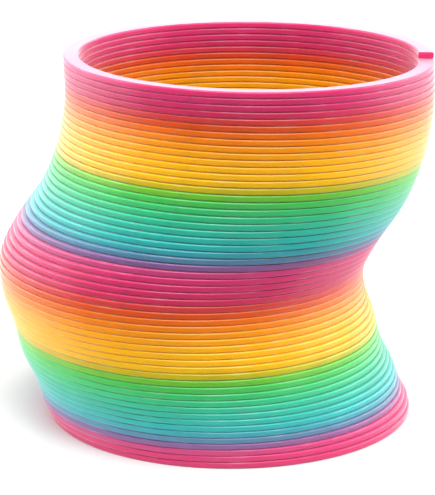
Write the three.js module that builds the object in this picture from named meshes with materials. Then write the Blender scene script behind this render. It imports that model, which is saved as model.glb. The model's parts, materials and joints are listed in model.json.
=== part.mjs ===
// Spring coil toy: one flat plastic strip wound into a closed coil, standing in a gentle sway.
// Millimetres, +Z up. The origin is on the table, under the middle of the coil's box.
// The strip is cut once a turn, so that each turn is a piece that can part from its neighbours.

import * as THREE from 'three';

// ---- Driving dimensions, in millimetres, degrees and turns ----

const TURNS = 56;
const OUTER_DIAMETER = 76;
const STRIP_WIDTH = 3.2; // radial, from the coil's outside to its inside
const STRIP_THICKNESS = 1.05; // along the coil
const TURN_CLEARANCE = 0.3; // between neighbouring turns of the closed coil
const SPLIT_CLEARANCE = 0.3; // between the end of one turn's piece and the start of the next
const FLAT_START = 0.5; // how much of the first turn lies flat on the table
const LEVEL_TURNS = 8; // turns over which the coil comes to its even climb
const SECTIONS_PER_TURN = 24;

// The stack's sway: share of its height, sideways shift in mm, lean and nod in degrees.
// A lean below zero drops the turn's right-hand side, and a nod below zero drops its back.
const SWAY = [
  { share: 0.0, shift: 0.2, lean: 0.0, nod: 0.0 },
  { share: 0.05, shift: -1.7, lean: -0.4, nod: 0.3 },
  { share: 0.11, shift: -3.2, lean: -0.5, nod: 0.9 },
  { share: 0.18, shift: -5.8, lean: -0.7, nod: 1.3 },
  { share: 0.26, shift: -7.3, lean: -0.75, nod: 0.9 },
  { share: 0.35, shift: -9.6, lean: -0.9, nod: 0.3 },
  { share: 0.44, shift: -9.6, lean: -1.3, nod: 0.0 },
  { share: 0.53, shift: -6.1, lean: -1.55, nod: -0.4 },
  { share: 0.63, shift: -1.0, lean: -1.35, nod: -0.7 },
  { share: 0.74, shift: 2.3, lean: -1.1, nod: -1.6 },
  { share: 0.87, shift: 4.1, lean: -0.95, nod: -2.1 },
  { share: 1.0, shift: 3.9, lean: -0.55, nod: -2.2 },
];

// The strip's colour, counted down from its top end, repeats once every RAINBOW_TURNS.
const RAINBOW_TURNS = 27;
const RAINBOW = [
  { share: 0.0, color: '#f26d9e' },
  { share: 0.12, color: '#ea4f7d' },
  { share: 0.19, color: '#ef7246' },
  { share: 0.27, color: '#f7942f' },
  { share: 0.4, color: '#fbb324' },
  { share: 0.53, color: '#f6d02c' },
  { share: 0.57, color: '#86d052' },
  { share: 0.66, color: '#4fc58a' },
  { share: 0.8, color: '#45c3bb' },
  { share: 0.87, color: '#6cb3d2' },
  { share: 0.92, color: '#a78ac6' },
  { share: 1.0, color: '#f26d9e' },
];
const PLASTIC = { roughness: 0.35, metalness: 0 };

// ---- Values worked out from them ----

const OUTER_RADIUS = OUTER_DIAMETER / 2;
const PITCH = STRIP_THICKNESS + TURN_CLEARANCE;
const SPLIT_SHARE = SPLIT_CLEARANCE / 2 / (2 * Math.PI * OUTER_RADIUS);

const swayCurve = new THREE.CubicInterpolant(
  SWAY.map((level) => level.share),
  SWAY.flatMap((level) => [
    level.shift,
    THREE.MathUtils.degToRad(level.lean),
    THREE.MathUtils.degToRad(level.nod),
  ]),
  3,
);

// How many pitches the strip has climbed after a number of turns. The first turn stays flat for
// FLAT_START and climbs over the rest. Each turn above repeats its droop below an even climb, a
// little less every time, and after LEVEL_TURNS none is left.
function climb(turns) {
  const below = Math.floor(turns);
  const part = turns - below;
  const rise = 1 - FLAT_START;
  const t = Math.max(0, (part - FLAT_START) / rise);
  const droop = part - (t * t * (3 - 2 * t) + rise * t * t * (t - 1));
  return turns - droop * Math.max(0, 1 - below / LEVEL_TURNS);
}

// A point of the strip: turns along it from its bottom end, its distance from the coil's axis,
// and its height above the strip's lower face.
function stripPoint(turns, radius, above) {
  const level = climb(turns);
  const [shift, lean, nod] = swayCurve.evaluate(level / TURNS);
  const angle = -2 * Math.PI * turns; // the strip climbs clockwise, seen from above
  return new THREE.Vector3(radius * Math.cos(angle), radius * Math.sin(angle), above)
    .applyEuler(new THREE.Euler(nod, -lean, 0))
    .add(new THREE.Vector3(shift, 0, level * PITCH));
}

// A straight bar, wound into the stretch of strip from one number of turns to another.
function stripGeometry(start, end) {
  const bar = new THREE.BoxGeometry(1, STRIP_WIDTH, STRIP_THICKNESS, SECTIONS_PER_TURN, 1, 1);
  const position = bar.getAttribute('position');
  for (let i = 0; i < position.count; i += 1) {
    const turns = THREE.MathUtils.lerp(start, end, position.getX(i) + 0.5);
    const radius = OUTER_RADIUS - STRIP_WIDTH / 2 + position.getY(i);
    const above = STRIP_THICKNESS / 2 + position.getZ(i);
    const point = stripPoint(turns, radius, above);
    position.setXYZ(i, point.x, point.y, point.z);
  }
  bar.computeVertexNormals();
  return bar;
}

function rainbowColor(turnsFromTop) {
  const share = (turnsFromTop / RAINBOW_TURNS) % 1;
  const next = RAINBOW.findIndex((stop) => stop.share > share);
  const from = RAINBOW[next - 1];
  const to = RAINBOW[next];
  const mix = (share - from.share) / (to.share - from.share);
  return new THREE.Color(from.color).lerp(new THREE.Color(to.color), mix);
}

function turnPiece(number) {
  const start = number === 1 ? 0 : number - 1 + SPLIT_SHARE;
  const end = number === TURNS ? TURNS : number - SPLIT_SHARE;
  const color = rainbowColor(TURNS - number + 0.5);
  const material = new THREE.MeshStandardMaterial({ color, ...PLASTIC });
  const turn = new THREE.Mesh(stripGeometry(start, end), material);
  turn.name = `turn_${String(number).padStart(2, '0')}`;
  return turn;
}

// ---- The assembly ----

const coil = new THREE.Group();
for (let number = 1; number <= TURNS; number += 1) {
  coil.add(turnPiece(number));
}

const box = new THREE.Box3().setFromObject(coil);
const middle = box.getCenter(new THREE.Vector3());
coil.position.set(-middle.x, -middle.y, -box.min.z);

export default coil;
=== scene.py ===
# %% [markdown]
# # A rainbow coil toy
# The toy is one flat strip of moulded plastic, wound into a helix of 56 closed turns. It stands on a
# table in a gentle S-shaped sway. The CAD frame holds its size, its turns and the joints between them.
# Here the same strip is made again with a rounded section, a smooth helix and its rainbow colours.

# %% Load the frame
import json
import math

import bmesh
import bpy
import numpy as np
from mathutils import Matrix, Vector

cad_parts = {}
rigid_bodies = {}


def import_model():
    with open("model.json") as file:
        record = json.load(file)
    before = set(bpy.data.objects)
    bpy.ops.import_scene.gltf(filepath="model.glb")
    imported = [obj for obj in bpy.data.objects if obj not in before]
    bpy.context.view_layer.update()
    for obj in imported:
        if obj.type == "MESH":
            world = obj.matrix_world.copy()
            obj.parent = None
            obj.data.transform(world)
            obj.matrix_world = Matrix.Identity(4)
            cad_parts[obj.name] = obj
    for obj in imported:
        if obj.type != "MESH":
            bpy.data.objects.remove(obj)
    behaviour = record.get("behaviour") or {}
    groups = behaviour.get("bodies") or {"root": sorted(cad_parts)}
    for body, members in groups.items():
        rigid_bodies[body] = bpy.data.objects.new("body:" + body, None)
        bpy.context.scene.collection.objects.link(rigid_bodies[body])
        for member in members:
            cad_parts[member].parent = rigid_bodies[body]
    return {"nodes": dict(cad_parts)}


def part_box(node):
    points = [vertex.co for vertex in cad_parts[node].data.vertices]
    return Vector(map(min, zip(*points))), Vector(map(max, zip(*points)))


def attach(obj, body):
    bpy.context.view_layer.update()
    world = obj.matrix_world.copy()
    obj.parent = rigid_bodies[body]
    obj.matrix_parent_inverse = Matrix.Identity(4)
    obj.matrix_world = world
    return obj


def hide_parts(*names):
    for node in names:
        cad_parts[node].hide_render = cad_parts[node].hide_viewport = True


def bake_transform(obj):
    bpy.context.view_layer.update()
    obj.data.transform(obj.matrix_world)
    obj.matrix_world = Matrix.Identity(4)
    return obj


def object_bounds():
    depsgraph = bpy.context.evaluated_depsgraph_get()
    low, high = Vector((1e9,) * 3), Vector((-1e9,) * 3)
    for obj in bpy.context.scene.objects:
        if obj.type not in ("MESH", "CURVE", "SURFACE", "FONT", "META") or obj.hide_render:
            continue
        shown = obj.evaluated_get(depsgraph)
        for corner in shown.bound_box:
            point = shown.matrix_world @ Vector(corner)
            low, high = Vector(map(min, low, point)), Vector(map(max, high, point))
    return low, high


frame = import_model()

CAD_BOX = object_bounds()
MM = 0.001
print("CAD box, mm:", [[round(value / MM, 1) for value in corner] for corner in CAD_BOX])

# %% [markdown]
# ## The coil's sizes
# The turns of the frame are read one by one. A turn's points at the right and left give its sideways
# lean, those at the front and back give its nod, and its box gives the sideways shift. A turn climbs
# by half a pitch from its front to its back, which is taken off its nod. Nothing is typed in twice,
# so a longer or wider coil in the frame gives a longer or wider one here.

# %% Measure every turn of the frame
TURNS = len(frame["nodes"])
TOUCH = 0.05 * MM  # points this close to a side of the box lie on that side


def turn_name(number):
    return f"turn_{number:02d}"


def height_where(points, axis, value):
    """Mean height of the points whose coordinate on an axis is the given value."""
    chosen = [point.z for point in points if abs(point[axis] - value) < TOUCH]
    return sum(chosen) / len(chosen)


def measure_turn(number):
    """(sideways shift, fall to the left, rise to the back, height of the middle) of a turn."""
    points = [vertex.co for vertex in frame["nodes"][turn_name(number)].data.vertices]
    low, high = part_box(turn_name(number))
    ends = [point for point in points if point.x > 0 and abs(point.y) < high.y / 10]
    right = sum(point.z for point in ends) / len(ends)
    left = height_where(points, 0, low.x)
    front, back = height_where(points, 1, low.y), height_where(points, 1, high.y)
    return (low.x + high.x) / 2, right - left, back - front, (front + back) / 2


measured = [measure_turn(number) for number in range(1, TURNS + 1)]
SHIFTS, FALLS, RISES, HEIGHTS = (np.array(column) for column in zip(*measured))
MIDDLES = np.arange(TURNS) + 0.5  # how far along the strip, in turns, each of them was taken
OUTER_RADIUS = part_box(turn_name(1))[1].y
PITCH = (HEIGHTS[-1] - HEIGHTS[TURNS // 2]) / (TURNS - 1 - TURNS // 2)
LEANS = FALLS / OUTER_RADIUS / 2
NODS = (RISES - PITCH / 2) / OUTER_RADIUS / 2
LEANS[0] = NODS[0] = 0.0  # the bottom turn lies flat
print(f"{TURNS} turns, radius {OUTER_RADIUS / MM:.2f} mm, pitch {PITCH / MM:.3f} mm")
print(f"shift {SHIFTS.min() / MM:.1f} to {SHIFTS.max() / MM:.1f} mm")
print(f"lean {math.degrees(LEANS.min()):.1f} to {math.degrees(LEANS.max()):.1f} degrees")
print(f"nod {math.degrees(NODS.min()):.1f} to {math.degrees(NODS.max()):.1f} degrees")

# %% [markdown]
# ## The strip's section
# The strip is 3.2 mm wide towards the middle of the coil, and each turn is as thick as one pitch.
# Its edges come out of the mould rounded, and that rounding is what draws the line between two
# turns. The section could be a circle squeezed flat, but the flat sides catch the light as one
# clean band, so it starts as a four-cornered face and its corners are bevelled.

# %% Make the section
STRIP_WIDTH = 3.2 * MM
SLIP = 0.04 * MM  # left between two closed turns, so that they can part
STRIP_THICKNESS = PITCH - SLIP
EDGE_RADIUS = 0.34 * MM
EDGE_SEGMENTS = 4
MIDDLE_RADIUS = OUTER_RADIUS - STRIP_WIDTH / 2
print(f"strip {STRIP_WIDTH / MM:.2f} by {STRIP_THICKNESS / MM:.2f} mm")


def start_section(bm):
    """A face with rounded corners, in the XZ plane at the coil's right-hand side."""
    half = Vector((STRIP_WIDTH / 2, 0, STRIP_THICKNESS / 2))
    middle = Vector((MIDDLE_RADIUS, 0, half.z))
    signs = ((-1, -1), (1, -1), (1, 1), (-1, 1))
    corners = [bm.verts.new(middle + Vector((half.x * x, 0, half.z * z))) for x, z in signs]
    bm.faces.new(corners)
    bmesh.ops.bevel(bm, geom=corners, offset=EDGE_RADIUS, offset_type="OFFSET",
                    segments=EDGE_SEGMENTS, profile=0.5, affect="VERTICES", material=-1)


# %% [markdown]
# ## Winding and settling
# A helix could be drawn as a curve with a bevel object, but the section would turn a little as it
# climbs. Spinning the section around the axis with a small rise at each step keeps it upright. The
# spin makes a straight coil. It is then settled into the pose that it stands in: each point is moved
# by the shift, lean and nod of its own height, and the first half turn is laid flat on the table.
# Where two turns lean a little differently, the strip between them is a hair thicker or thinner.

# %% Wind a straight stretch of strip
STEPS_PER_TURN = 100


def wind(bm, start, end):
    """Spins the section into the strip from one number of turns to another, climbing clockwise."""
    start_section(bm)
    steps = round((end - start) * STEPS_PER_TURN)
    bmesh.ops.spin(bm, geom=bm.verts[:] + bm.edges[:] + bm.faces[:], cent=(0, 0, 0),
                   axis=(0, 0, 1), dvec=(0, 0, PITCH / STEPS_PER_TURN),
                   angle=-math.tau * (end - start), steps=steps, use_merge=False,
                   use_duplicate=False)
    turned = Matrix.Rotation(-math.tau * start, 3, "Z")
    bmesh.ops.rotate(bm, verts=bm.verts[:], cent=(0, 0, 0), matrix=turned)
    bmesh.ops.translate(bm, verts=bm.verts[:], vec=(0, 0, PITCH * start))
    bmesh.ops.recalc_face_normals(bm, faces=bm.faces[:])


# %% Find where a point lies on the strip
def strip_place(point):
    """(turns along the strip, radius, height above its lower face) of a point of the straight coil."""
    part = (-math.atan2(point.y, point.x) / math.tau) % 1
    turns = part + round((point.z - STRIP_THICKNESS / 2) / PITCH - part)
    return turns, math.hypot(point.x, point.y), point.z - PITCH * turns


# %% Settle the coil into its sway
FLAT_START = 0.5  # turns of strip that lie flat on the table
LEVEL_TURNS = 8  # turns over which the coil comes to its even climb


def climb(turns):
    """Pitches climbed after a number of turns. The lowest turns droop to the flat first half turn."""
    below = math.floor(turns)
    part = turns - below
    rise = 1 - FLAT_START
    share = max(0.0, (part - FLAT_START) / rise)
    droop = part - (share * share * (3 - 2 * share) + rise * share * share * (share - 1))
    return turns - droop * max(0.0, 1 - below / LEVEL_TURNS)


def strip_axes(turns):
    """The turn's middle, and its directions to the outside and upwards, where the strip passes."""
    shift, lean, nod = (np.interp(turns, MIDDLES, values) for values in (SHIFTS, LEANS, NODS))
    tipped = Matrix.Rotation(nod, 3, "X") @ Matrix.Rotation(-lean, 3, "Y")
    angle = -math.tau * turns
    outwards = tipped @ Vector((math.cos(angle), math.sin(angle), 0))
    return Vector((shift, 0, climb(turns) * PITCH)), outwards, tipped @ Vector((0, 0, 1))


def lower_face(turns):
    """Height of the strip's lower face, half way across its width."""
    middle, outwards, _ = strip_axes(turns)
    return (middle + outwards * MIDDLE_RADIUS).z


def thickness(turns):
    """The strip's thickness at a place: it fills the room below the turn that lies on it."""
    return lower_face(turns + 1) - lower_face(turns) - SLIP


def settled(turns, radius, above):
    middle, outwards, upwards = strip_axes(turns)
    return middle + outwards * radius + upwards * above * thickness(turns) / STRIP_THICKNESS


spans = [thickness(turns) / MM for turns in range(TURNS)]
print(f"settled strip {min(spans):.2f} to {max(spans):.2f} mm thick")


# %% [markdown]
# ## Clean shading
# The strip is made in stretches, one at its bottom end and one over each joint between two turns.
# Smooth shading works out a normal from the faces around a point, so it would show a crease where
# one stretch ends and the next begins. The section's true normals are known, so they are set one by
# one.

# %% Work out the section's normals and its rounded edges
FLAT_HALF = Vector((STRIP_WIDTH / 2 - EDGE_RADIUS, STRIP_THICKNESS / 2 - EDGE_RADIUS))


def beyond(value, flat_half):
    """How far a value lies outside the flat part of a side, with its sign."""
    return math.copysign(max(abs(value) - flat_half, 0.0), value)


def section_normal(radius, above):
    """(outwards, upwards) parts of the surface normal at a point of the section."""
    normal = Vector((beyond(radius - MIDDLE_RADIUS, FLAT_HALF.x),
                     beyond(above - STRIP_THICKNESS / 2, FLAT_HALF.y)))
    return normal.normalized()


# %% Make a stretch of strip as a mesh object
ALONG = "turns_from_top"
EDGE = "rounded_edge"


def strip_stretch(name, start, end):
    """One closed stretch of the strip, with its place and its rounded edges kept as attributes."""
    bm = bmesh.new()
    wind(bm, start, end)
    places = [strip_place(vertex.co) for vertex in bm.verts]
    normals = []
    for vertex, (turns, radius, above) in zip(bm.verts, places):
        _, outwards, upwards = strip_axes(turns)
        side = section_normal(radius, above)
        normals.append((outwards * side.x + upwards * side.y).normalized())
        vertex.co = settled(turns, radius, above)
    mesh = bpy.data.meshes.new(name)
    bm.to_mesh(mesh)
    bm.free()

    corner_normals = []
    for face in mesh.polygons:
        is_cap = len(face.vertices) > 4
        corner_normals += [face.normal if is_cap else normals[index] for index in face.vertices]
    mesh.normals_split_custom_set(corner_normals)

    along = mesh.attributes.new(ALONG, "FLOAT", "POINT")
    along.data.foreach_set("value", [TURNS - turns for turns, _, _ in places])
    sides = [section_normal(radius, above) for _, radius, above in places]
    edge = mesh.attributes.new(EDGE, "FLOAT", "POINT")
    edge.data.foreach_set("value", [4 * (side.x * side.y) ** 2 for side in sides])

    piece = bpy.data.objects.new(name, mesh)
    bpy.context.scene.collection.objects.link(piece)
    return piece


# %% [markdown]
# ## The rainbow plastic
# Toys like this are moulded from ABS or polystyrene that is dyed through, so the colour is the same
# inside and out. It changes slowly along the strip and starts again every 27 turns. The colours
# could be painted on an unwrapped map, but the strip knows how far along it each point is, so a
# colour ramp over that distance gives the same bands with no map. ABS has an index of refraction
# of about 1.54. Light gets two or three millimetres into it, red the deepest, which is why the
# grooves between the turns look like deeper colour and not like black lines. A thin haze of fine
# scratches, drawn as sheen, makes it paler where it is seen at a low angle.

# %% Helpers for colours and nodes
def linear(code):
    """An sRGB hex colour as linear red, green, blue and alpha."""
    parts = [int(code[place:place + 2], 16) / 255 for place in (1, 3, 5)]
    return [c / 12.92 if c <= 0.04045 else ((c + 0.055) / 1.055) ** 2.4 for c in parts] + [1.0]


def add_node(tree, kind, inputs=(), **settings):
    """Adds a node. An input is a value, or an output socket that is linked to it."""
    node = tree.nodes.new(kind)
    for key, value in settings.items():
        setattr(node, key, value)
    for key, value in dict(inputs).items():
        if isinstance(value, bpy.types.NodeSocket):
            tree.links.new(value, node.inputs[key])
        else:
            node.inputs[key].default_value = value
    return node


# %% Mix the rainbow plastic
RAINBOW_TURNS = 27
RAINBOW = (  # share of the rainbow, counted down the coil, and the dyed plastic's colour there
    (0.00, "#c8306c"), (0.13, "#c0265a"), (0.20, "#cc4017"), (0.26, "#e66c00"), (0.34, "#f39400"),
    (0.42, "#fdaa00"), (0.50, "#f4b000"), (0.535, "#d3a400"), (0.57, "#76b01b"), (0.60, "#47b23e"),
    (0.67, "#30b36d"), (0.75, "#2aac90"), (0.86, "#26a3a4"), (0.905, "#3f839b"), (0.95, "#735688"),
    (1.00, "#c8306c"),
)


def rainbow_color(tree, along):
    """The dyed plastic's colour at a distance along the strip."""
    share = add_node(tree, "ShaderNodeMath", {0: along, 1: RAINBOW_TURNS}, operation="DIVIDE")
    cycle = add_node(tree, "ShaderNodeMath", {0: share.outputs[0]}, operation="FRACT")
    ramp = add_node(tree, "ShaderNodeValToRGB", {"Fac": cycle.outputs[0]})
    stops = ramp.color_ramp.elements
    for place, code in RAINBOW[1:-1]:
        stops.new(place).color = linear(code)
    stops[0].color = linear(RAINBOW[0][1])
    stops[len(RAINBOW) - 1].color = linear(RAINBOW[-1][1])
    return ramp.outputs["Color"]


# %% [markdown]
# ## Marks of making and of handling
# Close up, the plastic isn't even. The dye is a little cloudy, in patches of about 6 mm. Pulling and
# stacking draws fine rub lines along the strip, 0.25 mm apart and about 30 mm long: real ones are
# finer, and these are drawn as coarse as they need to be to show. Fingers leave smoother patches of
# about 14 mm. The rounded edges, which rub on the turns above and below, are scuffed paler and
# rougher in stretches of about 5 mm.

# %% Patterns, each with its real size
TURN_LENGTH = math.tau * MIDDLE_RADIUS
CLOUD_SIZE = 6 * MM
RUB_LENGTH = 30 * MM
RUB_SPACING = 0.25 * MM
FINGER_SIZE = 14 * MM
SCUFF_SIZE = 5 * MM


def patches(tree, place, size, detail=2.0):
    """Soft random patches of a size, from 0 to 1."""
    noise = add_node(tree, "ShaderNodeTexNoise", {"Vector": place, "Scale": 1 / size, "Detail": detail})
    return noise.outputs["Fac"]


def rub_lines(tree, place, along):
    """Fine lines along the strip, from 0 to 1."""
    parts = add_node(tree, "ShaderNodeSeparateXYZ", {0: place})
    flat = add_node(tree, "ShaderNodeCombineXYZ", {0: parts.outputs[0], 1: parts.outputs[1]})
    radius = add_node(tree, "ShaderNodeVectorMath", {0: flat.outputs[0]}, operation="LENGTH")
    steps = ((along, TURN_LENGTH / RUB_LENGTH), (radius.outputs["Value"], 1 / RUB_SPACING),
             (parts.outputs[2], 1 / RUB_SPACING))
    scaled = [add_node(tree, "ShaderNodeMath", {0: value, 1: scale}, operation="MULTIPLY").outputs[0]
              for value, scale in steps]
    place = add_node(tree, "ShaderNodeCombineXYZ", dict(enumerate(scaled))).outputs[0]
    return patches(tree, place, 1.0)


def spread(tree, value, low, high, start=0.35, end=0.65):
    """Maps the middle of a pattern's range to a range of values."""
    inputs = {"Value": value, "From Min": start, "From Max": end, "To Min": low, "To Max": high}
    return add_node(tree, "ShaderNodeMapRange", inputs).outputs["Result"]


# %% Mould the plastic
CLOUD_DARK, CLOUD_PALE = 0.96, 1.03
SATIN, RUBBED = 0.3, 0.36  # roughness where it is clean, and where fingers have rubbed it
RUB_ROUGHNESS = 0.08
RUB_DEPTH = 0.02 * MM
RUB_RELIEF = 0.3
SCUFF_PALE = 0.1
SCUFF_START, SCUFF_FULL = 0.5, 0.7  # the part of the pattern's range over which scuffs come in
ABS_IOR = 1.54
LIGHT_REACH = (3.0 * MM, 1.8 * MM, 1.5 * MM)  # of red, green and blue light in the plastic


def rainbow_plastic():
    material = bpy.data.materials.new("moulded_abs_rainbow")
    material.use_nodes = True
    tree = material.node_tree
    tree.nodes.clear()
    place = add_node(tree, "ShaderNodeTexCoord").outputs["Object"]
    along = add_node(tree, "ShaderNodeAttribute", attribute_name=ALONG).outputs["Fac"]
    edge = add_node(tree, "ShaderNodeAttribute", attribute_name=EDGE).outputs["Fac"]

    cloud = spread(tree, patches(tree, place, CLOUD_SIZE), CLOUD_DARK, CLOUD_PALE)
    rubs = rub_lines(tree, place, along)
    color = add_node(tree, "ShaderNodeHueSaturation",
                     {"Color": rainbow_color(tree, along), "Value": cloud}).outputs["Color"]

    scuffed = spread(tree, patches(tree, place, SCUFF_SIZE, 4.0), 0.0, SCUFF_PALE,
                     SCUFF_START, SCUFF_FULL)
    scuff = add_node(tree, "ShaderNodeMath", {0: scuffed, 1: edge}, operation="MULTIPLY").outputs[0]
    worn = add_node(tree, "ShaderNodeMix", {"Factor": scuff, 6: color, 7: (1.0, 1.0, 1.0, 1.0)},
                    data_type="RGBA")

    satin = spread(tree, patches(tree, place, FINGER_SIZE), SATIN, RUBBED)
    rubbed = add_node(tree, "ShaderNodeMath", {0: rubs, 1: RUB_ROUGHNESS, 2: satin},
                      operation="MULTIPLY_ADD")
    rough = add_node(tree, "ShaderNodeMath", {0: rubbed.outputs[0], 1: scuff}, operation="ADD")
    bump = add_node(tree, "ShaderNodeBump",
                    {"Height": rubs, "Strength": RUB_RELIEF, "Distance": RUB_DEPTH})

    shader = add_node(tree, "ShaderNodeBsdfPrincipled", {
        "Base Color": worn.outputs[2], "Roughness": rough.outputs[0], "IOR": ABS_IOR,
        "Specular IOR Level": 0.4, "Sheen Weight": 0.8, "Sheen Roughness": 0.28,
        "Subsurface Weight": 0.5, "Subsurface Radius": LIGHT_REACH,
        "Subsurface Scale": 1.0, "Normal": bump.outputs["Normal"]})
    add_node(tree, "ShaderNodeOutputMaterial", {"Surface": shader.outputs["BSDF"]})
    return material


plastic = rainbow_plastic()
print("rainbow stops:", len(RAINBOW))

# %% [markdown]
# ## Stretches over the joints
# Odd joints let two turns part along the coil, and even joints tip one turn over the next to arch it.
# A real strip gives way all along its length, so each joint is given a stretch of strip: 1.6 turns
# for a parting joint and 0.4 turns, opposite the hinge line, for a tipping one. For each point, the
# share of its joint's motion that it would take is worked out. The stretches follow on from each
# other, so the strip is in one piece as it stands.

# %% Build all the stretches
TIP_MIDDLE = 0.5  # turns past the hinge line: that is at the coil's right, and this is its left
TIP_HALF = 0.2
EASE = 0.15  # share of a stretch over which its motion starts, and over which it ends


def follow_share(share):
    """How much of a joint's motion a point takes: even in the middle, and easing in and out."""
    share = min(max(share, 0.0), 1.0)
    if share > 0.5:
        return 1 - follow_share(1 - share)
    eased = share * share / (2 * EASE) if share < EASE else share - EASE / 2
    return eased / (1 - EASE)


def blend_along(piece, start, end):
    """Bakes the piece's place and works out each point's share of the joint's motion; the shares aren't
    kept.
    """
    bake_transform(piece)
    count = len(piece.data.vertices)
    places = np.zeros(count, np.float32)
    piece.data.attributes[ALONG].data.foreach_get("value", places)
    shares = ((TURNS - places) - start) / (end - start)
    weights = np.array([follow_share(share) for share in shares], np.float32)


def finish_piece(piece, number):
    piece.data.materials.append(plastic)
    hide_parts(turn_name(number))


# %% Build the bottom end, the stretches and the top end
TIP_FIRST = TIP_MIDDLE - TIP_HALF
TIP_LAST = TIP_MIDDLE + TIP_HALF


def ridden_stretch(name, start, end, number):
    """The strip's bottom end, which moves with one turn only."""
    piece = strip_stretch(name, start, end)
    finish_piece(piece, number)
    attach(piece, turn_name(number))


def jointed_stretch(name, start, end, number):
    """A stretch of strip over the joint between a turn and the next one up."""
    piece = strip_stretch(name, start, end)
    finish_piece(piece, number + 1)
    blend_along(piece, start, end)


ridden_stretch("strip_bottom_end", 0, TIP_LAST, 1)
for number in range(1, TURNS):
    if number % 2 == 0:
        start, end = number + TIP_FIRST, number + TIP_LAST
        jointed_stretch(f"strip_tip_{number:02d}", start, end, number)
    elif number < TURNS - 1:
        start, end = number - 1 + TIP_LAST, number + 1 + TIP_FIRST
        jointed_stretch(f"strip_part_{number:02d}", start, end, number)
    else:
        jointed_stretch("strip_top_end", number - 1 + TIP_LAST, TURNS, number)

stretches = [piece for piece in bpy.data.objects if piece.name.startswith("strip_")]
face_count = sum(len(piece.data.polygons) for piece in stretches)
print(f"{len(stretches)} stretches of strip, {face_count} faces")

# %% [markdown]
# ## Stage, light and camera
# A coil toy is shown best on a plain pale table. A large table would throw light up at the coil's
# front and wash its colours out, so this one ends just in front of the coil, out of the camera's
# sight. A key light high at the front reaches over the top turn to the inside of the far wall. A
# small one straight overhead draws a bright line on the edge of each turn and lights the table
# inside the coil. Two soft lights at the sides make the shoulders bright, and the top turn mirrors
# the one behind.

# %% Lay the table
TABLE_FRONT, TABLE_BACK = -0.058, 3.0  # y of its edges, in metres
TABLE_HALF = 2.0  # from its middle to its left and right edges
TABLE_ROUGHNESS = 0.6


def make_table():
    bm = bmesh.new()
    sides = ((-TABLE_HALF, TABLE_FRONT), (TABLE_HALF, TABLE_FRONT), (TABLE_HALF, TABLE_BACK),
             (-TABLE_HALF, TABLE_BACK))
    bm.faces.new([bm.verts.new((x, y, 0)) for x, y in sides])
    mesh = bpy.data.meshes.new("table")
    bm.to_mesh(mesh)
    bm.free()
    table = bpy.data.objects.new("table", mesh)
    bpy.context.scene.collection.objects.link(table)
    material = bpy.data.materials.new("pale_laminate")
    material.use_nodes = True
    shader = material.node_tree.nodes["Principled BSDF"]
    shader.inputs["Base Color"].default_value = linear("#cccccc")
    shader.inputs["Roughness"].default_value = TABLE_ROUGHNESS
    mesh.materials.append(material)


make_table()
print(f"the table ends {(-TABLE_FRONT - OUTER_RADIUS) / MM:.0f} mm in front of the coil")

# %% Hang the lights
COIL_MIDDLE = (CAD_BOX[0] + CAD_BOX[1]) / 2
ROOM_BRIGHTNESS = 0.25


def soft_light(name, place, width, height, brightness):
    """A rectangular light that faces the coil, of a brightness in W/m2/sr."""
    light = bpy.data.lights.new(name, "AREA")
    light.shape = "RECTANGLE"
    light.size, light.size_y = width, height
    light.energy = brightness * math.pi * width * height
    lamp = bpy.data.objects.new(name, light)
    lamp.location = place
    lamp.rotation_euler = (Vector(place) - COIL_MIDDLE).to_track_quat("Z", "Y").to_euler()
    bpy.context.scene.collection.objects.link(lamp)


soft_light("key", (0.12, -0.7, 1.0), 1.0, 0.7, 8.0)
soft_light("overhead", (0, -0.05, 1.1), 0.5, 0.5, 8.0)
soft_light("behind", (0, 1.0, 0.36), 1.6, 0.6, 2.2)
soft_light("left_side", (-0.8, 0.2, 0.3), 1.1, 0.6, 5.2)
soft_light("right_side", (0.8, 0.2, 0.3), 1.1, 0.6, 4.8)

world = bpy.data.worlds.new("studio")
world.use_nodes = True
world.node_tree.nodes["Background"].inputs["Color"].default_value = (1, 1, 1, 1)
world.node_tree.nodes["Background"].inputs["Strength"].default_value = ROOM_BRIGHTNESS
bpy.context.scene.world = world
bpy.context.scene.view_settings.view_transform = "Standard"
print("lights:", [light.name for light in bpy.data.lights])

# %% Place the camera
CAMERA_PLACE = Vector((0.0005, -0.575, 0.2085))
CAMERA_DOWN = math.radians(16.81)
LENS = 237.9  # in mm, on a sensor 36 mm wide
SENSOR = 36.0

camera = bpy.data.cameras.new("camera")
camera.sensor_fit = "HORIZONTAL"
camera.sensor_width = SENSOR
camera.lens = LENS
camera.clip_end = 20
viewer = bpy.data.objects.new("camera", camera)
viewer.location = CAMERA_PLACE
viewer.rotation_euler = (math.radians(90) - CAMERA_DOWN, 0, 0)
bpy.context.scene.collection.objects.link(viewer)
bpy.context.scene.camera = viewer
print(f"camera {(CAMERA_PLACE - COIL_MIDDLE).length:.2f} m from the coil, lens {LENS} mm")
